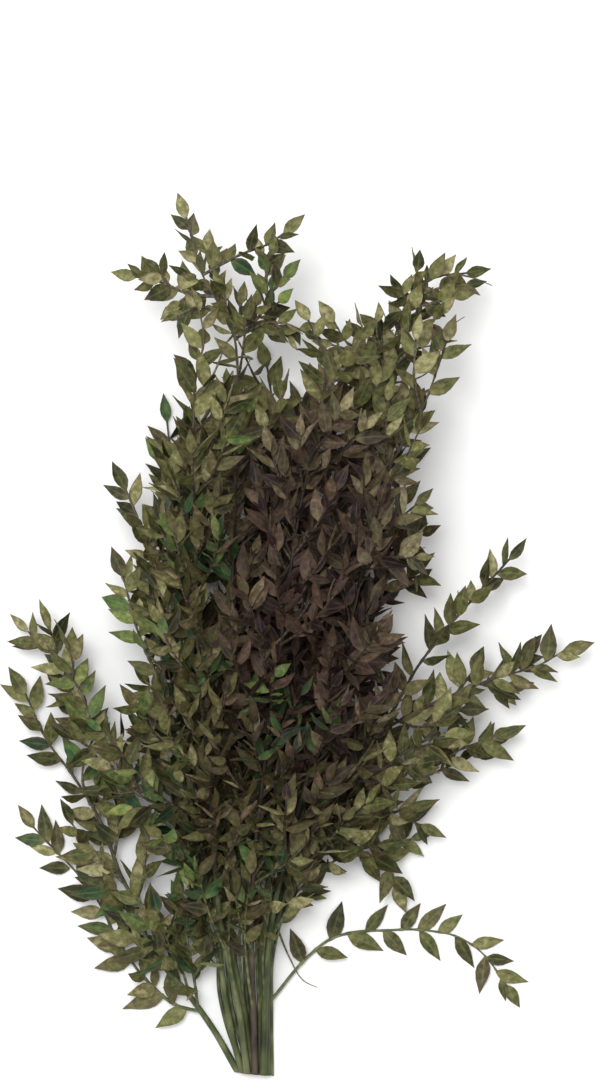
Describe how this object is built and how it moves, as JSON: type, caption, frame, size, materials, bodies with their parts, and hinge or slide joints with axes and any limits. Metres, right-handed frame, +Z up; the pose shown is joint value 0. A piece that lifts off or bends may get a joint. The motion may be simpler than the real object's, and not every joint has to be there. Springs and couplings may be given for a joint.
{
  "type": "bunch of dried ruscus stems",
  "caption": "Gathered bunch of dried ruscus stems lying down: bare cut ends together, side branches fanning out with small pointed leaves.",
  "frame": {"origin": "centre of the bunch's outline seen from above, on the surface that it lies on", "axes": "+Y from the cut ends to the leafy tips, +Z up from the surface, +X to the right with the tips pointing away"},
  "size_m": [0.3964, 0.5996, 0.1421],
  "materials": {
    "olive_foliage": "matte dried leaf, olive green",
    "brown_foliage": "matte dried leaf, brown to dull purple-brown",
    "bark": "dull ribbed stem, grey-green"
  },
  "bodies": {
    "root": {"stem_left_low": "olive_foliage", "stem_back_left": "brown_foliage", "stem_back_middle": "brown_foliage", "stem_back_right": "brown_foliage", "stem_right_low": "olive_foliage", "stem_left_middle": "brown_foliage", "stem_left_tall": "olive_foliage", "stem_right_tall": "brown_foliage", "stem_right_middle": "olive_foliage", "stem_front_left": "brown_foliage", "stem_front_middle": "brown_foliage", "stem_front_right": "brown_foliage"}
  },
  "joints": []
}
